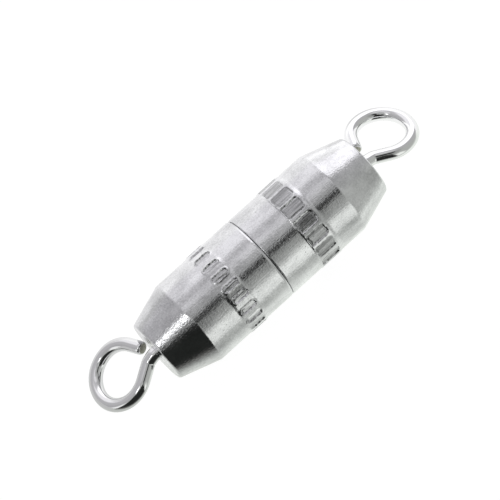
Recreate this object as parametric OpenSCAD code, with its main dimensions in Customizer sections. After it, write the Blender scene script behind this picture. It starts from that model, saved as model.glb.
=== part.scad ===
// Barrel screw clasp for a necklace: two turned halves screw together, and each holds a wire eye that swivels.
// The closed clasp lies on its side along X, with its seam at X = 0 and the surface it lies on at Z = 0.

/* [Barrel] */
// Diameter of the cylindrical part
barrel_d = 4.5; // [4.2:0.1:5.5]
// Distance from the seam to where the cone starts
straight_len = 4.5; // [4.2:0.1:6]
// Length of the cone
cone_len = 2; // [1.5:0.1:3]
// Diameter of the flat end face
end_d = 3.2; // [2.8:0.1:3.6]
// Thickness of the end wall that the eye passes through
end_wall = 0.6; // [0.5:0.1:0.9]
// Gap between the two halves at the seam
seam_gap = 0.05; // [0.04:0.01:0.1]
// Bevel on the outer edge of each half at the seam
seam_bevel = 0.07; // [0.04:0.01:0.12]

/* [Knurled bands] */
// How far the rolled bands stand out of the barrel
band_lift = 0.04; // [0.02:0.01:0.08]
// Oval dents around the socket half
socket_dents = 21; // [12:1:22]
// Length of an oval dent
socket_dent_len = 0.9; // [0.7:0.01:1.1]
// Width of an oval dent
socket_dent_w = 0.36; // [0.25:0.01:0.4]
// Depth of an oval dent
socket_dent_depth = 0.07; // [0.04:0.01:0.1]
// Square dents around the plug half
plug_dents = 17; // [12:1:18]
// Length of a square dent
plug_dent_len = 1.08; // [0.8:0.01:1.3]
// Width of a square dent
plug_dent_w = 0.72; // [0.6:0.01:0.74]
// Depth of a square dent at its middle
plug_dent_depth = 0.09; // [0.06:0.01:0.12]

/* [Thread] */
// Crest diameter of the stud's thread
thread_d = 2.96; // [2.8:0.02:3.1]
// Distance from one turn of the thread to the next
pitch = 0.5; // [0.46:0.01:0.6]
// Length of the stud beyond the seam
stud_len = 2.9; // [2.4:0.1:3.2]
// Gap between the stud's thread and the socket's
thread_gap = 0.05; // [0.04:0.01:0.06]
// Diameter of the hole through the stud
stud_bore_d = 1.7; // [1.4:0.1:1.8]

/* [Eyes] */
// Diameter of the wire
wire_d = 0.66; // [0.5:0.02:0.7]
// Radial gap between the wire and its hole
swivel_gap = 0.055; // [0.03:0.005:0.08]
// Diameter of the head inside the barrel
head_d = 1.24; // [1.1:0.02:1.3]
// Thickness of the head
head_t = 0.35; // [0.25:0.05:0.5]
// Radius of the loop at the middle of the wire
loop_r = 1.44; // [1.2:0.02:1.6]
// Roll of the near loop about its neck
near_roll = 31; // [0:1:90]
// Droop of the near loop towards the surface
near_droop = 19.5; // [0:0.5:20]
// Sideways swing of the near loop
near_swing = 10.5; // [0:0.5:12]
// Roll of the far loop about its neck
far_roll = 31.5; // [0:0.5:90]
// Droop of the far loop towards the surface
far_droop = 18.5; // [0:0.5:20]
// Sideways swing of the far loop
far_swing = 6.5; // [0:0.5:12]

/* [Hidden] */
$fn = 64;
barrel_r = barrel_d / 2;
band_r = barrel_r + band_lift;
end_r = end_d / 2;
half_len = straight_len + cone_len;
metal = [0.8, 0.8, 0.82];

// Small breaks on the turned edges
cone_break = 0.06;
rim_bevel = 0.08;
cone_slope = (barrel_r - end_r) / cone_len;

// Bands, measured from the seam. The dents run out past a band's edges, and their angles put one of each ring
// at the bottom, so that the clasp rests on the ridges beside it.
socket_band_mid = 2.17;
plug_band_mid = 2.37;
dent_run_out = 0.03;
band_rim = 0.055;
socket_dent_phase = 0;
plug_dent_phase = 1;
dent_corner = 0.16;

// Thread profile: a ridge with 60 degree flanks on the stud, and the same ridge grown by the gap for the socket
crest_r = thread_d / 2;
ridge_h = 0.56 * pitch;
core_r = crest_r - ridge_h;
crest_half = 0.08 * pitch;
flank = tan(30);
steps_per_turn = 24;
thread_start = 0.35;
thread_tip = 0.15;
socket_minor_r = core_r + 0.06;
socket_major_r = crest_r + thread_gap;
socket_depth = stud_len + 0.5;
mouth_bevel = 0.28;
chamber_r = 1.05;

// Eye: the wire leaves its hole, leans, bends aside, runs round the loop and stops short of its own neck
wire_r = wire_d / 2;
bend_wire_r = wire_r - 0.004;
lap = 0.02;
hole_r = wire_r + swivel_gap;
hole_bevel = 0.06;
head_gap = 0.05;
neck_u = 0.05;
lean_r = 0.5;
neck_len = 0.24;
neck_bend_r = 0.5;
neck_turn = 25;
leg_len = 0.75;
loop_turn = 268;
tail_len = 0.7;

// Carries a shape turned about Z onto the barrel's own axis, which runs along X
module on_axis() {
    translate([0, 0, band_r]) rotate([0, 90, 0]) children();
}

// Outside of one half, from the seam up to its end face, with its raised band
module half_body(band_mid, dent_len) {
    bottom = band_mid - dent_len / 2 + dent_run_out - band_rim;
    top = band_mid + dent_len / 2 - dent_run_out + band_rim;
    rotate_extrude() polygon([
        [0, seam_gap / 2],
        [barrel_r - seam_bevel, seam_gap / 2],
        [barrel_r, seam_gap / 2 + seam_bevel],
        [barrel_r, bottom],
        [band_r, bottom + band_rim],
        [band_r, top - band_rim],
        [barrel_r, top],
        [barrel_r, straight_len - cone_break],
        [barrel_r - cone_slope * cone_break, straight_len + cone_break],
        [end_r + cone_slope * rim_bevel, half_len - rim_bevel],
        [end_r - rim_bevel, half_len],
        [0, half_len]
    ]);
}

// The eye's hole through the end wall, with a small bevel outside
module eye_hole() {
    translate([0, 0, half_len - end_wall - 0.1]) cylinder(r = hole_r, h = end_wall + 0.2);
    translate([0, 0, half_len - hole_bevel])
        cylinder(r1 = hole_r, r2 = hole_r + 2 * hole_bevel, h = 2 * hole_bevel);
}

// Ring of oval dents, each cut by a lengthwise pill
module oval_dents() {
    pill_r = (pow(socket_dent_w / 2, 2) + pow(socket_dent_depth, 2)) / (2 * socket_dent_depth);
    pill_half = (socket_dent_len - socket_dent_w) / 2;
    for (i = [0:socket_dents - 1])
        rotate([0, 0, socket_dent_phase + i * 360 / socket_dents])
            translate([band_r + pill_r - socket_dent_depth, 0, socket_band_mid]) {
                translate([0, 0, -pill_half]) cylinder(r = pill_r, h = 2 * pill_half);
                for (end = [-1, 1]) translate([0, 0, end * pill_half]) sphere(r = pill_r);
            }
}

// Flat outline of a square dent with round corners, wide along X and long along Y
module dent_outline() {
    square([plug_dent_w - 2 * dent_corner, plug_dent_len], center = true);
    square([plug_dent_w, plug_dent_len - 2 * dent_corner], center = true);
    for (x = [-1, 1], y = [-1, 1])
        translate([x * (plug_dent_w / 2 - dent_corner), y * (plug_dent_len / 2 - dent_corner)])
            circle(r = dent_corner);
}

// Ring of square dents with flat floors
module square_dents() {
    for (i = [0:plug_dents - 1])
        rotate([0, 0, plug_dent_phase + i * 360 / plug_dents])
            translate([band_r - plug_dent_depth, 0, plug_band_mid])
                rotate([0, 90, 0]) rotate([0, 0, 90]) linear_extrude(height = 0.5) dent_outline();
}

// Cross-section of the ridge at one step: root and crest, each as [radius, half width along the axis]
function ridge_half(r, grow) = crest_half + (crest_r - r) * flank + grow;

// Point on the helix: a turns the point about the axis and lifts it by the pitch
function helix_point(a, r, along, z0) = [r * cos(a), r * sin(a), z0 + pitch * a / 360 + along];

// Share of the full height at step i of n, so that the ridge fades in and out over half a turn
function fade(i, n) = min(1, 0.04 + 2 * i / steps_per_turn, 0.04 + 2 * (n - i) / steps_per_turn);

// Right-hand helical ridge from z_low to z_high, rooted at root_r and as high as top_r, grown sideways by grow
module helix_ridge(z_low, z_high, root_r, top_r, grow) {
    first = ceil(z_low / pitch * steps_per_turn);
    last = floor(z_high / pitch * steps_per_turn);
    n = last - first;
    points = [
        for (i = [0:n])
            let (
                a = (first + i) * 360 / steps_per_turn,
                r = root_r + (top_r - root_r) * fade(i, n),
                root_half = ridge_half(root_r, grow),
                top_half = ridge_half(r, grow)
            )
            each [
                helix_point(a, root_r, -root_half, 0),
                helix_point(a, r, -top_half, 0),
                helix_point(a, r, top_half, 0),
                helix_point(a, root_r, root_half, 0)
            ]
    ];
    sides = [
        for (i = [0:n - 1], k = [0:3])
            let (b = 4 * i, j = (k + 1) % 4)
            each [[b + k, b + 4 + j, b + 4 + k], [b + k, b + j, b + 4 + j]]
    ];
    polyhedron(points = points, faces = concat(sides, [[3, 2, 1, 0], [4 * n, 4 * n + 1, 4 * n + 2, 4 * n + 3]]));
}

// Half with the threaded bore, on the near side of the seam
module socket_half() {
    color(metal) on_axis() difference() {
        mirror([0, 0, 1]) difference() {
            half_body(socket_band_mid, socket_dent_len);
            oval_dents();
            eye_hole();
            translate([0, 0, -0.1]) cylinder(r = socket_minor_r, h = socket_depth + 0.1);
            cylinder(r1 = socket_major_r + 0.08, r2 = socket_major_r + 0.08 - mouth_bevel, h = mouth_bevel);
            translate([0, 0, socket_depth - 0.1])
                cylinder(r = chamber_r, h = half_len - end_wall - socket_depth + 0.1);
        }
        helix_ridge(-socket_depth + 0.1, 0.4, core_r + 0.015, socket_major_r, thread_gap);
    }
}

// Half with the hollow threaded stud, on the far side of the seam
module plug_half() {
    color(metal) on_axis() difference() {
        union() {
            half_body(plug_band_mid, plug_dent_len);
            translate([0, 0, -stud_len + thread_tip]) cylinder(r = core_r, h = stud_len);
            translate([0, 0, -stud_len]) cylinder(r1 = core_r - thread_tip, r2 = core_r, h = thread_tip);
            helix_ridge(-stud_len + thread_tip + pitch / 2, -thread_start, core_r - 0.06, crest_r, 0);
        }
        square_dents();
        eye_hole();
        translate([0, 0, -stud_len - 0.1]) cylinder(r = stud_bore_d / 2, h = stud_len + half_len - end_wall + 0.1);
    }
}

// Length of wire along X from the origin, lapped a little over the bends at its ends
module wire_straight(length) {
    translate([-lap, 0, 0]) rotate([0, 90, 0]) cylinder(r = wire_r, h = length + 2 * lap);
}

// Bend of wire of radius r about the origin, from one angle through the next sweep degrees
module wire_arc(r, from, sweep) {
    rotate([0, 0, from]) rotate_extrude(angle = sweep) translate([r, 0]) circle(r = bend_wire_r);
}

// The loop lies flat: it starts at the origin along X, bends towards Y, and comes round to its cut end
module loop() {
    bend_end = [neck_len + neck_bend_r * sin(neck_turn), neck_bend_r * (1 - cos(neck_turn))];
    leg_end = bend_end + leg_len * [cos(neck_turn), sin(neck_turn)];
    middle = leg_end + loop_r * [sin(neck_turn), -cos(neck_turn)];
    out = neck_turn - loop_turn;
    tail_start = middle + loop_r * [cos(out + 90), sin(out + 90)];
    wire_straight(neck_len);
    translate([neck_len, neck_bend_r]) wire_arc(neck_bend_r, -90, neck_turn);
    translate(bend_end) rotate([0, 0, neck_turn]) wire_straight(leg_len);
    translate(middle) wire_arc(loop_r, out + 90, loop_turn);
    translate(tail_start) rotate([0, 0, out]) wire_straight(tail_len);
}

// Eye with X pointing out of the barrel and its end face at X = 0: a head inside, the neck, then the leaning loop
module eye(roll, droop, swing) {
    shank = end_wall + head_gap;
    lean = acos(cos(droop) * cos(swing));
    side = atan2(-sin(droop), -sin(swing) * cos(droop));
    aside = lean_r * (1 - cos(lean));
    translate([-shank - head_t, 0, 0]) rotate([0, 90, 0]) cylinder(r = head_d / 2, h = head_t);
    translate([-shank, 0, 0]) wire_straight(shank + neck_u);
    translate([neck_u, 0, 0]) rotate([side, 0, 0]) translate([0, lean_r, 0]) wire_arc(lean_r, -90, lean);
    translate([neck_u + lean_r * sin(lean), aside * cos(side), aside * sin(side)])
        rotate([-roll, droop, -swing]) mirror([0, 1, 0]) loop();
}

// Eye of the socket half
module near_eye() {
    color(metal) translate([-half_len, 0, band_r])
        mirror([1, 0, 0]) eye(near_roll, near_droop, near_swing);
}

// Eye of the plug half
module far_eye() {
    color(metal) translate([half_len, 0, band_r]) eye(far_roll, far_droop, far_swing);
}

socket_half();
plug_half();
near_eye();
far_eye();
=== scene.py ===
import math
import random

import bmesh
import bpy
from mathutils import Matrix, Vector, noise


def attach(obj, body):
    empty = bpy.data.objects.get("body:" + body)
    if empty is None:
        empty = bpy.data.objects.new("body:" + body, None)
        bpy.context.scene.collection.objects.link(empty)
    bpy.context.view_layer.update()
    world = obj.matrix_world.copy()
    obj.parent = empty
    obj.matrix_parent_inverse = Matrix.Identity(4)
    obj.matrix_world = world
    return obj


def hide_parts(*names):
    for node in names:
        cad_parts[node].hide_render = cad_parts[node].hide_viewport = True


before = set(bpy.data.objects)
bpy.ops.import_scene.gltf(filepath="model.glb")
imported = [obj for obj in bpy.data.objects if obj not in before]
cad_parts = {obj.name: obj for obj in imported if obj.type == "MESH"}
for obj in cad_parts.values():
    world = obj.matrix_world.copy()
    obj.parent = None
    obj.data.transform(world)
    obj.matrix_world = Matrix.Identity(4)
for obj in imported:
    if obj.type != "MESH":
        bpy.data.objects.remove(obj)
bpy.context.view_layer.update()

# Lengths are in millimetres and angles in degrees. Each piece is made round the X axis with the seam at x = 0,
# and finishPiece lifts it to axisHeight and turns millimetres to the frame's metres.
metre = 0.001
axisHeight = 2.29
bandRadius = 2.29  # the clasp lies on its two bands
mergeDistance = 0.0005


def toLinear(hexColour):
    channels = [int(hexColour[i:i + 2], 16) / 255 for i in (1, 3, 5)]
    return [c / 12.92 if c <= 0.04045 else ((c + 0.055) / 1.055) ** 2.4 for c in channels] + [1.0]


def addNode(tree, kind, settings=None, inputs=None):
    node = tree.nodes.new(kind)
    for name, value in (settings or {}).items():
        setattr(node, name, value)
    for key, value in (inputs or {}).items():
        if isinstance(value, bpy.types.NodeSocket):
            tree.links.new(value, node.inputs[key])
        else:
            node.inputs[key].default_value = value
    return node


def smoothStep(low, high, value):
    t = min(1.0, max(0.0, (value - low) / (high - low)))
    return t * t * (3 - 2 * t)


# Materials
def startMaterial(name):
    material = bpy.data.materials.new(name)
    material.use_nodes = True
    tree = material.node_tree
    tree.nodes.clear()
    place = addNode(tree, "ShaderNodeTexCoord")
    inMillimetres = addNode(tree, "ShaderNodeVectorMath", {"operation": "SCALE"},
                            {0: place.outputs["Object"], "Scale": 1 / metre})
    return material, tree, inMillimetres.outputs["Vector"]


def endMaterial(tree, shader):
    addNode(tree, "ShaderNodeOutputMaterial", None, {"Surface": shader.outputs["BSDF"]})


# Turned brass with satin silver-coloured plating: blurred reflections with a fine grain, faint turning rings,
# and floors of the rolled dents that are drawn darker, rougher and streaked lengthwise
plating = {
    "light": "#ECECEE", "dull": "#C6C6C8", "pit": "#6E6E70", "floor": "#858586",
    "cylinderRoughness": 0.14, "coneRoughness": 0.08, "grainRoughness": 0.05, "floorRoughness": 0.10,
    "grainSize": 0.09, "grainHeight": 0.0058, "coneGrain": 1.3,
    "ringSpacing": 0.05, "ringHeight": 0.0016,
    "brushWidth": 0.06, "brushHeight": 0.0040,
    "pitSize": 0.075, "pitDepth": 0.006, "pitShare": 0.35, "conePits": 0.15, "pitNoise": (0.70, 0.80),
    "streakWidth": 0.16, "streakHeight": 0.005, "stripDark": 0.80, "stripPale": 0.42, "stripNoise": (0.40, 0.60),
    "patchSize": 0.8, "patchGrain": 0.8, "patchNoise": (0.62, 1.08), "coneStart": 4.5, "coneBlend": 0.02,
}


def satinPlating(p):
    material, tree, place = startMaterial("satin plated brass")

    def pattern(stretch, size, detail):
        drawn = addNode(tree, "ShaderNodeVectorMath", {"operation": "MULTIPLY"}, {0: place, 1: stretch})
        return addNode(tree, "ShaderNodeTexNoise", None,
                       {"Vector": drawn.outputs[0], "Scale": 1 / size, "Detail": detail,
                        "Roughness": 0.6}).outputs["Fac"]

    def raised(height, distance, below, strength=1.0):
        return addNode(tree, "ShaderNodeBump", None,
                       {"Height": height, "Strength": strength, "Distance": distance * metre,
                        **({"Normal": below} if below else {})}).outputs[0]

    # the grain drawn here is a little coarser than real satin plating, so that it shows at this size
    grain = pattern((1.0, 1.0, 1.0), p["grainSize"], 3.0)
    patches = pattern((0.6, 1.0, 1.0), p["patchSize"], 2.0)
    rings = pattern((1.0, 0.06, 0.06), p["ringSpacing"], 2.0)  # long round the barrel
    brush = pattern((0.10, 1.0, 1.0), p["brushWidth"], 2.0)  # long along the barrel
    streaks = pattern((0.05, 1.0, 1.0), p["streakWidth"], 1.0)
    pitNoise = pattern((1.0, 1.0, 1.0), p["pitSize"], 1.0)
    pits = addNode(tree, "ShaderNodeMapRange", None,
                   {"Value": pitNoise, "From Min": p["pitNoise"][0], "From Max": p["pitNoise"][1]}).outputs[0]

    # where a point is: on the floor of a dent, and on a cone or the cylinder
    floor = addNode(tree, "ShaderNodeAttribute", {"attribute_name": "dentFloor"}).outputs["Fac"]
    split = addNode(tree, "ShaderNodeSeparateXYZ", None, {0: place})
    fromSeam = addNode(tree, "ShaderNodeMath", {"operation": "ABSOLUTE"}, {0: split.outputs["X"]})
    onCone = addNode(tree, "ShaderNodeMapRange", None,
                     {"Value": fromSeam.outputs[0], "From Min": p["coneStart"] - p["coneBlend"],
                      "From Max": p["coneStart"] + p["coneBlend"]})

    base = addNode(tree, "ShaderNodeMapRange", None,
                   {"Value": onCone.outputs[0], "To Min": p["cylinderRoughness"], "To Max": p["coneRoughness"]})
    grainShare = addNode(tree, "ShaderNodeMapRange", None,
                         {"Value": grain, "From Min": 0.3, "From Max": 0.7,
                          "To Min": -p["grainRoughness"], "To Max": p["grainRoughness"]})
    withGrain = addNode(tree, "ShaderNodeMath", None, {0: base.outputs[0], 1: grainShare.outputs[0]})
    rough = addNode(tree, "ShaderNodeMath", {"operation": "MULTIPLY_ADD"},
                    {0: floor, 1: p["floorRoughness"], 2: withGrain.outputs[0]})

    # colour: dull and light plating in patches, then the dent floors, drawn darker, in strips, then the pits
    shade = addNode(tree, "ShaderNodeMath", {"operation": "MULTIPLY_ADD"}, {0: grain, 1: p["patchGrain"], 2: patches})
    shadeRange = addNode(tree, "ShaderNodeMapRange", None,
                         {"Value": shade.outputs[0], "From Min": p["patchNoise"][0],
                          "From Max": p["patchNoise"][1]})
    plain = addNode(tree, "ShaderNodeMix", {"data_type": "RGBA"},
                    {0: shadeRange.outputs[0], 6: toLinear(p["dull"]), 7: toLinear(p["light"])})
    strip = addNode(tree, "ShaderNodeMapRange", None,
                    {"Value": streaks, "From Min": p["stripNoise"][0], "From Max": p["stripNoise"][1],
                     "To Min": p["stripDark"], "To Max": p["stripPale"]})
    floorShare = addNode(tree, "ShaderNodeMath", {"operation": "MULTIPLY"}, {0: floor, 1: strip.outputs[0]})
    withFloors = addNode(tree, "ShaderNodeMix", {"data_type": "RGBA"},
                         {0: floorShare.outputs[0], 6: plain.outputs[2], 7: toLinear(p["floor"])})
    pitShare = addNode(tree, "ShaderNodeMath", {"operation": "MULTIPLY"}, {0: pits, 1: p["pitShare"]})
    colour = addNode(tree, "ShaderNodeMix", {"data_type": "RGBA"},
                     {0: pitShare.outputs[0], 6: withFloors.outputs[2], 7: toLinear(p["pit"])})

    # relief: the cones have more grain and hardly any pits
    grainStrength = addNode(tree, "ShaderNodeMapRange", None,
                            {"Value": onCone.outputs[0], "To Min": 1.0, "To Max": p["coneGrain"]}).outputs[0]
    pitStrength = addNode(tree, "ShaderNodeMapRange", None,
                          {"Value": onCone.outputs[0], "To Min": 1.0, "To Max": p["conePits"]}).outputs[0]
    normal = raised(rings, p["ringHeight"], None)
    normal = raised(brush, p["brushHeight"], normal, grainStrength)
    normal = raised(grain, p["grainHeight"], normal, grainStrength)
    normal = raised(pits, -p["pitDepth"], normal, pitStrength)
    normal = raised(streaks, p["streakHeight"], normal, floor)
    shader = addNode(tree, "ShaderNodeBsdfPrincipled", None,
                     {"Base Color": colour.outputs[2], "Metallic": 1.0, "Roughness": rough.outputs[0],
                      "Normal": normal})
    endMaterial(tree, shader)
    return material


# Drawn wire with bright silver-coloured plating: near-mirror, with the slight waviness of bent wire
wireFinish = {"light": "#F0F0F1", "roughness": 0.07, "roughnessSpread": 0.05, "fineSize": 0.0625,
              "waveSize": 0.55, "waveHeight": 0.006}


def brightWire(w):
    material, tree, place = startMaterial("bright plated drawn wire")
    waves = addNode(tree, "ShaderNodeTexNoise", None,
                    {"Vector": place, "Scale": 1 / w["waveSize"], "Detail": 2.0, "Roughness": 0.4})
    fine = addNode(tree, "ShaderNodeTexNoise", None, {"Vector": place, "Scale": 1 / w["fineSize"], "Detail": 2.0})
    rough = addNode(tree, "ShaderNodeMapRange", None,
                    {"Value": fine.outputs["Fac"], "From Min": 0.3, "From Max": 0.7,
                     "To Min": w["roughness"], "To Max": w["roughness"] + w["roughnessSpread"]})
    bump = addNode(tree, "ShaderNodeBump", None,
                   {"Height": waves.outputs["Fac"], "Strength": 1.0, "Distance": w["waveHeight"] * metre})
    shader = addNode(tree, "ShaderNodeBsdfPrincipled", None,
                     {"Base Color": toLinear(w["light"]), "Metallic": 1.0, "Roughness": rough.outputs[0],
                      "Normal": bump.outputs[0]})
    endMaterial(tree, shader)
    return material


# Sheared end of the wire: bare metal, dull and slightly yellow-grey, with the cutter's fine lines
cutFinish = {"light": "#CFCEC4", "dark": "#A3A294", "roughness": 0.42, "lineSpacing": 0.05, "lineHeight": 0.006}


def shearedEnd(c):
    material, tree, place = startMaterial("sheared wire end")
    linePlace = addNode(tree, "ShaderNodeVectorMath", {"operation": "MULTIPLY"}, {0: place, 1: (1.0, 0.2, 1.0)})
    lines = addNode(tree, "ShaderNodeTexNoise", None,
                    {"Vector": linePlace.outputs[0], "Scale": 1 / c["lineSpacing"], "Detail": 3.0})
    colour = addNode(tree, "ShaderNodeMix", {"data_type": "RGBA"},
                     {0: lines.outputs["Fac"], 6: toLinear(c["dark"]), 7: toLinear(c["light"])})
    bump = addNode(tree, "ShaderNodeBump", None,
                   {"Height": lines.outputs["Fac"], "Strength": 1.0, "Distance": c["lineHeight"] * metre})
    shader = addNode(tree, "ShaderNodeBsdfPrincipled", None,
                     {"Base Color": colour.outputs[2], "Metallic": 1.0, "Roughness": c["roughness"],
                      "Normal": bump.outputs[0]})
    endMaterial(tree, shader)
    return material


platedMetal = satinPlating(plating)
wireMetal = brightWire(wireFinish)
cutMetal = shearedEnd(cutFinish)
print("materials made")


# Turned halves
turning = {"hold": 0.02, "rowSpacing": 0.03, "sharpAngle": 24,
           "reliefRadius": 2.1}  # only the outer skin, beyond this radius, gets rows for the relief


def heldOutline(corners, hold):
    # each long run gets a point close to both its ends, so that smooth shading stays flat between them
    points = []
    for here, after in zip(corners, corners[1:] + corners[:1]):
        here, after = Vector(here), Vector(after)
        length = (after - here).length
        points.append(here)
        if length > 4 * hold:
            points += [here.lerp(after, hold / length), after.lerp(here, hold / length)]
    return points


def turnOutline(corners, dents, stepsPerDent, rows):
    # the outline runs as (distance from the seam, radius) and is closed, so the spin gives a ring-shaped solid:
    # one dent's share of the barrel first, which is then repeated all round
    bm = bmesh.new()
    points = [bm.verts.new((u, 0, -r)) for u, r in heldOutline(corners, turning["hold"])]
    for here, after in zip(points, points[1:] + points[:1]):
        bm.edges.new((here, after))
    spacing = turning["rowSpacing"]
    for edge in bm.edges[:]:
        inBand = all(rows[0] < v.co.x < rows[1] and -v.co.z > turning["reliefRadius"] for v in edge.verts)
        if inBand and edge.calc_length() > spacing:
            bmesh.ops.subdivide_edges(bm, edges=[edge], cuts=round(edge.calc_length() / spacing) - 1)
    pitch = 2 * math.pi / dents
    bmesh.ops.spin(bm, geom=bm.verts[:] + bm.edges[:], cent=(0, 0, 0), axis=(1, 0, 0),
                   angle=pitch, steps=stepsPerDent)
    bmesh.ops.spin(bm, geom=bm.verts[:] + bm.edges[:] + bm.faces[:], cent=(0, 0, 0), axis=(1, 0, 0),
                   angle=pitch * (dents - 1), steps=dents - 1, use_duplicate=True)
    bmesh.ops.remove_doubles(bm, verts=bm.verts, dist=mergeDistance)
    return bm


def moveRadially(v, radius):
    now = math.hypot(v.co.y, v.co.z)
    v.co.y *= radius / now
    v.co.z *= radius / now


def helicalRidge(body, start, turns, pitch, steps, root, top, rootHalf, topHalf):
    # cross-section carried along the helix; it sinks towards the wall over the first and last half turn, but never
    # so far that its faces collapse
    bm = bmesh.new()
    corners = [(-rootHalf, root), (-topHalf, top), (topHalf, top), (rootHalf, root)]
    face = bm.faces.new([bm.verts.new((start + along, 0, -r)) for along, r in corners])
    bmesh.ops.spin(bm, geom=list(face.verts) + list(face.edges) + [face], cent=(0, 0, 0), axis=(1, 0, 0),
                   dvec=(pitch / steps, 0, 0), angle=2 * math.pi * turns, steps=round(turns * steps))
    for v in bm.verts:
        radius = math.hypot(v.co.y, v.co.z)
        turn = math.atan2(v.co.y, -v.co.z) / (2 * math.pi)
        turn += round((v.co.x - start) / pitch - turn)
        share = min(1.0, 0.04 + 2 * turn, 0.04 + 2 * (turns - turn))
        moveRadially(v, root + (radius - root) * max(share, 0.02))
    mesh = bpy.data.meshes.new("ridge")
    bm.to_mesh(mesh)
    bm.free()
    body.from_mesh(mesh)
    bpy.data.meshes.remove(mesh)


def finishPiece(bm, name, body, node, materials, sharpAngle):
    bmesh.ops.remove_doubles(bm, verts=bm.verts, dist=mergeDistance)
    bmesh.ops.recalc_face_normals(bm, faces=bm.faces)
    for face in bm.faces:
        face.smooth = True
    for edge in bm.edges:
        edge.smooth = edge.calc_face_angle(0.0) < math.radians(sharpAngle)
    inFrame = Matrix.Translation((0, 0, axisHeight * metre)) @ Matrix.Scale(metre, 4)
    bmesh.ops.transform(bm, matrix=inFrame, verts=bm.verts)
    mesh = bpy.data.meshes.new(name)
    bm.to_mesh(mesh)
    bm.free()
    for material in materials:
        mesh.materials.append(material)
    piece = bpy.data.objects.new(name, mesh)
    bpy.context.scene.collection.objects.link(piece)
    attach(piece, body)
    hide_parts(node)
    print(name, "made,", sum(len(p.vertices) - 2 for p in mesh.polygons), "triangles")


# both halves end alike: the hole in the end wall, the end face, the cone and the start of the cylinder
endOutline = [(5.9, 0.385), (6.44, 0.385), (6.5, 0.445), (6.5, 1.52), (6.488, 1.556), (6.462, 1.592),
              (6.42, 1.626), (4.555, 2.232), (4.515, 2.2425), (4.47, 2.2495), (4.44, 2.25)]
reliefSkin = 2.2  # points nearer the axis than this belong to the bore and stay as they are

socket = {
    "dents": 21, "stepsPerDent": 28, "rows": (1.5, 2.85), "middle": 2.17,
    "halfLength": 0.45, "halfWidth": 0.175, "depth": 0.055, "wall": 0.055,
    "rim": 0.020, "rimWidth": 0.05, "groove": 0.010, "grooveWidth": 0.03,
    "lift": 0.018, "liftInset": 0.05, "liftReach": 0.16,
    "streak": 0.014, "streakWidth": 0.045, "streakLength": 0.5, "ragged": 0.035, "raggedSize": 0.14,
    "floorStrength": 0.45, "unevenAngle": 1.1, "unevenLength": 0.03, "deepRange": (0.75, 1.1), "wideRange": (0.88, 1.08),
    "outline": [(2.80, 2.25), (1.54, 2.25), (0.15, 2.25), (0.11, 2.246), (0.072, 2.234), (0.035, 2.218),
                (0.016, 2.20), (0.008, 2.175), (0.008, 1.6), (0.09, 1.535), (3.25, 1.535), (3.25, 1.26),
                (3.4, 1.26), (3.4, 1.05), (5.9, 1.05)],
}
socketThread = {"start": -3.25, "turns": 6.1, "pitch": 0.5, "steps": 64, "root": 1.56, "top": 1.26,
                "rootHalf": 0.207, "topHalf": 0.033}


def ovalRelief(bm, s):
    # rolled ovals: each a sunk floor with lengthwise streaks and a rim of metal pushed up around it;
    # all but the one that lies straight below the axis stand a little unevenly
    dice = random.Random(21)
    pitch = 360 / s["dents"]
    marks = [(0.0 if k == 0 else dice.uniform(-1, 1) * s["unevenAngle"], dice.uniform(-1, 1) * s["unevenLength"],
              dice.uniform(*s["deepRange"]), dice.uniform(*s["wideRange"]), dice.uniform(0, 50))
             for k in range(s["dents"])]
    floorLayer = bm.verts.layers.float.new("dentFloor")
    reach = s["halfLength"] + s["liftReach"]
    for v in bm.verts:
        radius = math.hypot(v.co.y, v.co.z)
        u = v.co.x - s["middle"]
        if radius < reliefSkin or abs(u) > reach:
            continue
        angle = math.degrees(math.atan2(v.co.y, -v.co.z))
        k = round(angle / pitch)
        turn, slide, deep, wide, seed = marks[k % s["dents"]]
        across = math.radians(angle - k * pitch - turn) * bandRadius
        along = u - slide
        halfWidth = s["halfWidth"] * wide
        past = max(abs(along) - (s["halfLength"] - halfWidth), 0)
        ragged = s["ragged"] * noise.noise((across / s["raggedSize"], along / s["raggedSize"], seed + 9))
        outside = math.hypot(across, past) - halfWidth + ragged
        lift = s["lift"] * (1 - smoothStep(s["halfLength"] - s["liftInset"], reach, abs(u)))
        rim = s["rim"] * math.exp(-(max(outside, 0) / s["rimWidth"]) ** 2)
        inside = smoothStep(0.0, s["wall"], -outside)
        streak = s["streak"] * noise.noise((across / s["streakWidth"], along / s["streakLength"], seed)) * inside
        groove = s["groove"] * math.exp(-((outside + s["wall"]) / s["grooveWidth"]) ** 2)
        sink = inside * (s["depth"] * deep + s["rim"] + groove)
        moveRadially(v, radius + lift + rim - sink + streak)
        # this share sets how much darker, rougher and streaked the socket's dent floors are drawn
        v[floorLayer] = inside * s["floorStrength"]


bm = turnOutline(endOutline + socket["outline"], socket["dents"], socket["stepsPerDent"], socket["rows"])
ovalRelief(bm, socket)
bmesh.ops.scale(bm, vec=(-1, 1, 1), verts=bm.verts)  # the socket half lies towards -X
helicalRidge(bm, **socketThread)
finishPiece(bm, "socket_body", "socket_half", "socket_half", [platedMetal], turning["sharpAngle"])


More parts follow.
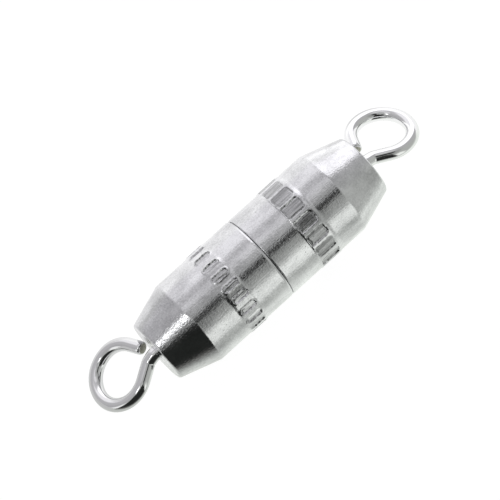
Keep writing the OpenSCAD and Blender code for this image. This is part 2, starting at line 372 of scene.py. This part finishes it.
plug = {
    "dents": 17, "phase": 1.0, "stepsPerDent": 34, "rows": (1.7, 3.22), "middle": 2.37,
    "halfLength": 0.53, "halfWidth": 0.372, "depth": 0.062, "wall": 0.06, "seamCorner": 0.10, "farCorner": 0.20,
    "groove": 0.012, "seamGroove": 1.5, "grooveWidth": 0.035, "grooveInset": 0.02,
    "lift": 0.036, "seamReach": 0.06, "farReach": 0.26,
    "streak": 0.015, "fineWidth": 0.055, "fineLength": 1.4, "fineShare": 0.4, "broadWidth": 0.22,
    "broadLength": 2.0, "ragged": 0.03, "raggedSize": 0.16,
    "unevenAngle": 1.2, "deepRange": (0.75, 1.2), "wideRange": (0.84, 1.03), "leanRange": (-5, 5),
    "slideRange": (-0.03, 0.03),
    "outline": [(3.20, 2.25), (1.74, 2.25), (0.055, 2.25), (0.035, 2.246), (0.018, 2.236), (0.009, 2.22),
                (0.009, 1.22), (0.0, 1.2), (-2.75, 1.2), (-2.9, 1.05), (-2.9, 0.85), (5.9, 0.85)],
}
studThread = {"start": -2.5, "turns": 4.29, "pitch": 0.5, "steps": 64, "root": 1.14, "top": 1.48,
              "rootHalf": 0.2363, "topHalf": 0.04}


def squareRelief(bm, s):
    # rolled squares with rounded far ends: flat streaked floors, a groove along each wall, thin ridges between;
    # all but the one nearest straight below the axis stand a little unevenly
    dice = random.Random(17)
    pitch = 360 / s["dents"]
    marks = [(0.0 if k == 0 else dice.uniform(-1, 1) * s["unevenAngle"], dice.uniform(*s["deepRange"]),
              dice.uniform(*s["wideRange"]), dice.uniform(*s["leanRange"]), dice.uniform(*s["slideRange"]),
              dice.uniform(0, 50)) for k in range(s["dents"])]
    floorLayer = bm.verts.layers.float.new("dentFloor")
    for v in bm.verts:
        radius = math.hypot(v.co.y, v.co.z)
        along = v.co.x - s["middle"]
        if radius < reliefSkin or abs(along) > s["halfLength"] + s["farReach"]:
            continue
        angle = math.degrees(math.atan2(v.co.y, -v.co.z)) - s["phase"]
        k = round(angle / pitch)
        turn, deep, wide, lean, slide, seed = marks[k % s["dents"]]
        turned = math.radians(angle - k * pitch - turn)
        across = turned * bandRadius
        farSide = along > 0
        corner = s["farCorner"] if farSide else s["seamCorner"]
        sideways = abs(across) - (s["halfWidth"] * wide - corner)
        lengthways = abs(along) - (s["halfLength"] + (slide if farSide else 0) - corner)
        outside = math.hypot(max(sideways, 0), max(lengthways, 0)) + min(max(sideways, lengthways), 0) - corner
        outside += s["ragged"] * noise.noise((across / s["raggedSize"], along / s["raggedSize"], seed + 9))
        inside = smoothStep(0.0, s["wall"], -outside)
        reach = s["farReach"] if farSide else s["seamReach"]
        lift = s["lift"] * (1 - smoothStep(s["halfLength"], s["halfLength"] + reach, abs(along)))
        groove = s["groove"] * (s["seamGroove"] if along < 0 else 1.0)
        groove *= math.exp(-((outside + s["wall"] + s["grooveInset"]) / s["grooveWidth"]) ** 2)
        floor = (bandRadius - s["depth"] * deep) / math.cos(turned) + math.radians(lean) * across - groove
        fine = s["fineShare"] * noise.noise((across / s["fineWidth"], along / s["fineLength"], seed))
        broad = noise.noise((across / s["broadWidth"], along / s["broadLength"], seed))
        outer = radius + lift
        moveRadially(v, outer + (min(floor + s["streak"] * (fine + broad), outer) - outer) * inside)
        v[floorLayer] = inside


bm = turnOutline(endOutline + plug["outline"], plug["dents"], plug["stepsPerDent"], plug["rows"])
squareRelief(bm, plug)
helicalRidge(bm, **studThread)
finishPiece(bm, "plug_body", "plug_half", "plug_half", [platedMetal], turning["sharpAngle"])


# Wire eyes
def ringVerts(ring):
    # each point once, always in the same order
    return list(dict.fromkeys(v for edge in ring for v in edge.verts))


def sweepWire(bm, ring, steps):
    # each step is a straight length, (vector), or a bend, (centre, axis, degrees, pieces)
    for step in steps:
        if len(step) == 1:
            made = bmesh.ops.extrude_edge_only(bm, edges=ring)["geom"]
            verts = [g for g in made if isinstance(g, bmesh.types.BMVert)]
            bmesh.ops.translate(bm, vec=step[0], verts=verts)
            ring = [g for g in made if isinstance(g, bmesh.types.BMEdge) and all(v in verts for v in g.verts)]
        else:
            centre, axis, degrees, pieces = step
            made = bmesh.ops.spin(bm, geom=ringVerts(ring) + ring, cent=centre, axis=axis,
                                  angle=math.radians(degrees), steps=pieces)["geom_last"]
            ring = [g for g in made if isinstance(g, bmesh.types.BMEdge)]
    return ring


eyeWire = {
    "radius": 0.33, "sides": 40, "shank": 0.65, "endFace": 6.5,
    "headRadius": 0.62, "headThickness": 0.35, "headEdge": 0.05,
    "neckStart": 0.05, "leanRadius": 0.5, "neckLength": 0.24, "neckBend": 0.5, "neckTurn": 25.0,
    "leg": 0.75, "loopRadius": 1.44, "bendPieces": 6, "loopPieces": 64,
    "tailShares": (0.45, 0.35), "pinch": ((0.12, 0.97), (0.06, 0.93), (0.02, 0.985)), "pinchFlat": 0.97,
    "cutInset": 0.045, "cutDepth": 0.02, "unevenness": 0.010, "unevenScale": 0.9, "unevenFrom": (0.1, 0.8),
    "unevenSeed": 4, "sharpAngle": 35,
}
nearEye = {"side": -1, "roll": 31.0, "droop": 19.5, "swing": 10.5, "loopTurn": 272.0, "tail": 0.82}
farEye = {"side": 1, "roll": 31.5, "droop": 18.5, "swing": 6.5, "loopTurn": 268.0, "tail": 0.70}


def makeEye(name, body, node, eye):
    # made at the end face with the barrel's axis as X, then moved out to its own end
    w = eyeWire
    bm = bmesh.new()
    back = Matrix.Translation((-w["shank"] - w["headThickness"], 0, 0)) @ Matrix.Rotation(math.radians(90), 4, "Y")
    slim = w["headRadius"] - w["headEdge"]
    made = bmesh.ops.create_circle(bm, segments=w["sides"], radius=slim, matrix=back)
    ring = list(dict.fromkeys(e for v in made["verts"] for e in v.link_edges))
    bm.faces.new(made["verts"])

    def widen(ring, factor):
        bmesh.ops.scale(bm, vec=(1, factor, factor), verts=ringVerts(ring))

    # the head: a disc with chamfered edges, then the shank through the end wall
    ring = sweepWire(bm, ring, [(Vector((w["headEdge"], 0, 0)),)])
    widen(ring, w["headRadius"] / slim)
    ring = sweepWire(bm, ring, [(Vector((w["headThickness"] - 2 * w["headEdge"], 0, 0)),)])
    ring = sweepWire(bm, ring, [(Vector((w["headEdge"], 0, 0)),)])
    widen(ring, slim / w["headRadius"])
    ring = sweepWire(bm, ring, [(Vector((0, 0, 0)),)])
    widen(ring, w["radius"] / slim)
    ring = sweepWire(bm, ring, [(Vector((w["shank"] * 0.5, 0, 0)),),
                                (Vector((w["shank"] * 0.5 + w["neckStart"], 0, 0)),)])

    # the loop's plane: X along the eye, Z across its opening
    turned = (Matrix.Rotation(math.radians(-eye["swing"]), 4, "Z")
              @ Matrix.Rotation(math.radians(eye["droop"]), 4, "Y")
              @ Matrix.Rotation(math.radians(-eye["roll"]), 4, "X"))
    heading = turned @ Vector((1, 0, 0))
    normal = turned @ Vector((0, 0, 1))
    leanAxis = Vector((1, 0, 0)).cross(heading).normalized()
    lean = math.degrees(math.acos(heading.x))
    toCentre = leanAxis.cross(Vector((1, 0, 0))) * w["leanRadius"]
    leanCentre = Vector((w["neckStart"], 0, 0)) + toCentre
    start = leanCentre + Matrix.Rotation(math.radians(lean), 4, leanAxis) @ (-toCentre)

    def inLoop(x, y):
        return start + turned @ Vector((x, -y, 0))

    turn = math.radians(w["neckTurn"])
    out = math.radians(w["neckTurn"] - eye["loopTurn"])
    bendEnd = Vector((w["neckLength"] + w["neckBend"] * math.sin(turn), w["neckBend"] * (1 - math.cos(turn))))
    legEnd = bendEnd + w["leg"] * Vector((math.cos(turn), math.sin(turn)))
    middle = legEnd + w["loopRadius"] * Vector((math.sin(turn), -math.cos(turn)))
    along = turned @ Vector((math.cos(turn), -math.sin(turn), 0))
    tailWay = turned @ Vector((math.cos(out), -math.sin(out), 0)) * eye["tail"]
    ring = sweepWire(bm, ring, [
        (leanCentre, leanAxis, lean, w["bendPieces"]),
        (heading * w["neckLength"],),
        (inLoop(w["neckLength"], w["neckBend"]), -normal, w["neckTurn"], w["bendPieces"]),
        (along * (w["leg"] * 0.5),), (along * (w["leg"] * 0.5),),
        (inLoop(middle.x, middle.y), normal, eye["loopTurn"], w["loopPieces"]),
        *((tailWay * share,) for share in w["tailShares"]),
    ])

    # the cutter squeezes the end a little and leaves a slight burr round a dull face
    for share, squeeze in w["pinch"]:
        ring = sweepWire(bm, ring, [(tailWay * share,)])
        verts = ringVerts(ring)
        centre = sum((v.co for v in verts), Vector()) / len(verts)
        basis = Matrix.Translation(centre) @ turned.to_3x3().to_4x4()
        bmesh.ops.scale(bm, vec=(squeeze, squeeze, squeeze * w["pinchFlat"]), verts=verts, space=basis.inverted())
    cut = bmesh.ops.contextual_create(bm, geom=ring)["faces"]
    bmesh.ops.inset_region(bm, faces=cut, thickness=w["cutInset"], depth=-w["cutDepth"])
    for face in cut:
        face.material_index = 1
        bmesh.ops.poke(bm, faces=[face])

    # slight waviness outside the barrel, different on each eye; without a seed this noise starts from the clock
    noise.seed_set(w["unevenSeed"])
    for v in bm.verts:
        if v.co.x > w["unevenFrom"][0]:
            shift = noise.noise_vector(v.co * w["unevenScale"] + Vector((eye["side"] * 7.0, 3.0, 1.0)))
            v.co += shift * w["unevenness"] * smoothStep(*w["unevenFrom"], v.co.x)
    bmesh.ops.translate(bm, vec=(w["endFace"], 0, 0), verts=bm.verts)
    bmesh.ops.scale(bm, vec=(eye["side"], 1, 1), verts=bm.verts)
    finishPiece(bm, name, body, node, [wireMetal, cutMetal], w["sharpAngle"])


makeEye("near_eye_wire", "near_eye", "near_eye", nearEye)
makeEye("far_eye_wire", "far_eye", "far_eye", farEye)


# Floor, light and camera
def stagePiece(bm, name, shader, tree, material, onlyMirrored):
    addNode(tree, "ShaderNodeOutputMaterial", None, {"Surface": shader.outputs[0]})
    mesh = bpy.data.meshes.new(name)
    bmesh.ops.scale(bm, vec=(metre, metre, metre), verts=bm.verts)
    bm.to_mesh(mesh)
    bm.free()
    mesh.materials.append(material)
    piece = bpy.data.objects.new(name, mesh)
    bpy.context.scene.collection.objects.link(piece)
    if onlyMirrored:
        piece.visible_camera = False
        piece.visible_diffuse = False
        piece.visible_shadow = False


floor = {"colour": "#FAFAFA", "share": 0.22, "glow": 0.97, "radius": 400.0}


def layFloor(f):
    # pale paper that partly glows, so that it stays as white as the photo's ground
    bm = bmesh.new()
    bmesh.ops.create_circle(bm, cap_ends=True, segments=96, radius=f["radius"])
    material, tree, place = startMaterial("pale paper")
    colour = toLinear(f["colour"])
    paper = addNode(tree, "ShaderNodeBsdfDiffuse", None, {"Color": [c * f["share"] for c in colour[:3]] + [1.0]})
    glow = addNode(tree, "ShaderNodeEmission", None, {"Color": colour, "Strength": f["glow"]})
    both = addNode(tree, "ShaderNodeAddShader", None, {0: paper.outputs[0], 1: glow.outputs[0]})
    stagePiece(bm, "floor", both, tree, material, False)


# what the metal mirrors besides the tent, out of the camera's sight: a glowing sheet that lies on the floor, its glow
# painted palest near the barrel, and a black card, painted greyer at its foot, that stands beside the near end
sheet = {"radius": 402.0, "lift": 0.001, "middle": (1.5, 3.5, 0.0), "reach": (5.0, 0.0, 0.0),
         "near": 4.0, "far": 15.0, "pale": 1.04, "grey": 0.56, "nearTint": "#FBFFF9", "farTint": "#FFFFFF"}
# brighter and darker places painted into the sheet's glow: painted light and painted shade
sheetPlaces = [
    # middle, full up to this distance, none past this one, times as bright
    # painted shadow at the foot of the black card, which casts no shadow of its own
    ((-8.1, -9.7, 0.0), 0.5, 6.0, 0.45),
    ((9.6, 8.6, 0.0), 1.0, 5.5, 1.40),
    ((9.8, -9.0, 0.0), 2.0, 7.0, 1.40),
    ((17.0, 21.0, 0.0), 6.0, 11.0, 1.22),
    ((9.0, 3.8, 0.0), 0.6, 2.3, 0.70),
]


def layGlowingSheet(s, places):
    bm = bmesh.new()
    bmesh.ops.create_circle(bm, cap_ends=True, segments=96, radius=s["radius"],
                            matrix=Matrix.Translation((0, 0, s["lift"])))
    material, tree, place = startMaterial("glowing sheet")
    off = addNode(tree, "ShaderNodeVectorMath", {"operation": "SUBTRACT"}, {0: place, 1: s["middle"]})
    nearSide = addNode(tree, "ShaderNodeVectorMath", {"operation": "MINIMUM"}, {0: off.outputs[0], 1: s["reach"]})
    distance = addNode(tree, "ShaderNodeVectorMath", {"operation": "LENGTH"}, {0: nearSide.outputs[0]})
    strength = addNode(tree, "ShaderNodeMapRange", {"interpolation_type": "SMOOTHSTEP"},
                       {"Value": distance.outputs["Value"], "From Min": s["near"], "From Max": s["far"],
                        "To Min": s["pale"], "To Max": s["grey"]})
    for middle, full, none, factor in places:
        away = addNode(tree, "ShaderNodeVectorMath", {"operation": "DISTANCE"}, {0: place, 1: middle})
        share = addNode(tree, "ShaderNodeMapRange", {"interpolation_type": "SMOOTHSTEP"},
                        {"Value": away.outputs["Value"], "From Min": full, "From Max": none,
                         "To Min": factor, "To Max": 1.0})
        strength = addNode(tree, "ShaderNodeMath", {"operation": "MULTIPLY"},
                           {0: strength.outputs[0], 1: share.outputs[0]})
    split = addNode(tree, "ShaderNodeSeparateXYZ", None, {0: place})
    side = addNode(tree, "ShaderNodeMapRange", None,
                   {"Value": split.outputs["Y"], "From Min": -2.0, "From Max": 2.0})
    tint = addNode(tree, "ShaderNodeMix", {"data_type": "RGBA"},
                   {0: side.outputs[0], 6: toLinear(s["nearTint"]), 7: toLinear(s["farTint"])})
    # the sheet is seen only in the metal and only glows: its grey is painted light
    grey = addNode(tree, "ShaderNodeEmission", None, {"Color": tint.outputs[2], "Strength": strength.outputs[0]})
    stagePiece(bm, "glowing sheet", grey, tree, material, True)


card = {"width": 16.5, "height": 14.0, "foot": (-11.94, -6.47), "turned": -40.0, "colour": "#292B29",
        "footColour": "#8C8C88", "footHeight": 2.8}


def standCard(c):
    bm = bmesh.new()
    bmesh.ops.create_grid(bm, x_segments=1, y_segments=1, size=0.5)
    bmesh.ops.scale(bm, vec=(c["width"], c["height"], 1), verts=bm.verts)
    standing = (Matrix.Translation((*c["foot"], c["height"] / 2))
                @ Matrix.Rotation(math.radians(c["turned"]), 4, "Z") @ Matrix.Rotation(math.radians(90), 4, "X"))
    bmesh.ops.transform(bm, matrix=standing, verts=bm.verts)
    material, tree, place = startMaterial("black card")
    # painted light: the card is drawn lighter towards its foot, to soften its edge against the sheet in the metal
    split = addNode(tree, "ShaderNodeSeparateXYZ", None, {0: place})
    height = addNode(tree, "ShaderNodeMapRange", {"interpolation_type": "SMOOTHSTEP"},
                     {"Value": split.outputs["Z"], "From Min": 0.0, "From Max": c["footHeight"]})
    faded = addNode(tree, "ShaderNodeMix", {"data_type": "RGBA"},
                    {0: height.outputs[0], 6: toLinear(c["footColour"]), 7: toLinear(c["colour"])})
    black = addNode(tree, "ShaderNodeBsdfDiffuse", None, {"Color": faded.outputs[2]})
    stagePiece(bm, "black card", black, tree, material, True)


# Studio light: a pale tent with its brighter and darker places, each named by where it lies round the part
# (0 is towards the far end, 90 towards +Y) and by its height above the floor, in degrees
tent = {"level": 0.44, "seen": 0.97, "nearTint": "#FCFFFA", "farTint": "#FDFCFF"}
tentPlaces = [
    # towards, half width, softness, height, half height, softness, brightness
    (0, 180, 0, 90, 15, 3, 0.40),
    (120, 22, 6, 30, 28, 8, 0.50),
    (-20, 36, 8, 22, 34, 8, 0.47),
    (80, 40, 14, 46, 8, 6, 0.58),
    (75, 55, 18, 64, 8.5, 1.5, 0.76),
    (84, 23, 10, 8, 30, 6, 0.94),
    (48, 20, 7, 10, 30, 6, 1.34),
    (-85, 18, 7, 8, 27, 8, 0.98),
    (180, 14, 6, 8, 20, 6, 0.95),
    (-74, 60, 20, 62, 10, 8, 0.34),
    (-66, 48, 16, 73.5, 7, 2, 0.02),
    (166, 7, 2.5, 60.5, 5.5, 2.5, 3.6),
    (-126, 33, 4, 0, 58, 4, 0.02),
    (-110, 24, 5, 61, 11.5, 3, 0.02),
    (-149, 13, 4, 60, 7, 3, 0.05),
    (-125, 30, 4, 75, 2.5, 1.5, 0.60),
]


def hangTent(t, places):
    world = bpy.data.worlds.new("studio tent")
    bpy.context.scene.world = world
    world.use_nodes = True
    tree = world.node_tree
    tree.nodes.clear()
    heading = addNode(tree, "ShaderNodeTexCoord")
    way = addNode(tree, "ShaderNodeSeparateXYZ", None, {0: heading.outputs["Generated"]})
    bearing = addNode(tree, "ShaderNodeMath", {"operation": "ARCTAN2"}, {0: way.outputs["Y"], 1: way.outputs["X"]})
    rise = addNode(tree, "ShaderNodeMath", {"operation": "ARCSINE"}, {0: way.outputs["Z"]})
    towards, above = (addNode(tree, "ShaderNodeMath", {"operation": "MULTIPLY"},
                              {0: angle.outputs[0], 1: math.degrees(1)}) for angle in (bearing, rise))
    brightness = t["level"]
    for place in places:
        shares = []
        for angle, (middle, half, soft) in ((towards, place[0:3]), (above, place[3:6])):
            off = addNode(tree, "ShaderNodeMath", {"operation": "SUBTRACT"}, {0: angle.outputs[0], 1: middle})
            wrapped = addNode(tree, "ShaderNodeMath", {"operation": "WRAP"}, {0: off.outputs[0], 1: 180, 2: -180})
            away = addNode(tree, "ShaderNodeMath", {"operation": "ABSOLUTE"}, {0: wrapped.outputs[0]})
            shares.append(addNode(tree, "ShaderNodeMapRange", {"interpolation_type": "SMOOTHSTEP"},
                                  {"Value": away.outputs[0], "From Min": half - soft, "From Max": half + soft,
                                   "To Min": 1.0, "To Max": 0.0}))
        share = addNode(tree, "ShaderNodeMath", {"operation": "MULTIPLY"},
                        {0: shares[0].outputs[0], 1: shares[1].outputs[0]})
        brightness = addNode(tree, "ShaderNodeMix", {"data_type": "FLOAT"},
                             {0: share.outputs[0], 2: brightness, 3: place[6]}).outputs[0]
    ray = addNode(tree, "ShaderNodeLightPath")  # the backdrop behind the part stays plain
    seen = addNode(tree, "ShaderNodeMix", {"data_type": "FLOAT"},
                   {0: ray.outputs["Is Camera Ray"], 2: brightness, 3: t["seen"]})
    side = addNode(tree, "ShaderNodeMapRange", None, {"Value": way.outputs["Y"], "From Min": -0.5, "From Max": 0.5})
    tint = addNode(tree, "ShaderNodeMix", {"data_type": "RGBA"},
                   {0: side.outputs[0], 6: toLinear(t["nearTint"]), 7: toLinear(t["farTint"])})
    backdrop = addNode(tree, "ShaderNodeBackground", None, {"Color": tint.outputs[2], "Strength": seen.outputs[0]})
    addNode(tree, "ShaderNodeOutputWorld", None, {"Surface": backdrop.outputs[0]})


# Camera: high above the part and turned a little, with a long lens; focal length, frame width and the seam's
# place in the picture are in pixels
view = {"elevation": 79.3, "turn": 42.7, "distance": 140.0, "focal": 3036.9, "frame": 500, "seam": (260.6, 257.7),
        "sensor": 36.0, "clip": (0.001, 10.0)}


def placeCamera(v):
    turn, elevation = math.radians(v["turn"]), math.radians(v["elevation"])
    right = Vector((math.cos(turn), -math.sin(turn), 0))
    ahead = Vector((math.sin(turn), math.cos(turn), 0))
    up = ahead * math.sin(elevation) + Vector((0, 0, math.cos(elevation)))
    towards = ahead * math.cos(elevation) - Vector((0, 0, math.sin(elevation)))
    aside = (v["seam"][0] - v["frame"] / 2) / v["focal"]
    above = (v["frame"] / 2 - v["seam"][1]) / v["focal"]
    spot = Vector((0, 0, axisHeight)) - v["distance"] * (towards + aside * right + above * up)
    camera = bpy.data.objects.new("camera", bpy.data.cameras.new("camera"))
    bpy.context.scene.collection.objects.link(camera)
    camera.data.sensor_width = v["sensor"]
    camera.data.lens = v["focal"] / v["frame"] * v["sensor"]
    camera.data.clip_start, camera.data.clip_end = v["clip"]
    facing = Matrix((right, up, -towards)).transposed().to_4x4()
    camera.matrix_world = Matrix.Translation(spot * metre) @ facing
    bpy.context.scene.camera = camera


layFloor(floor)
layGlowingSheet(sheet, sheetPlaces)
standCard(card)
hangTent(tent, tentPlaces)
placeCamera(view)
bpy.context.scene.view_settings.view_transform = "Standard"
print("floor, light and camera set")
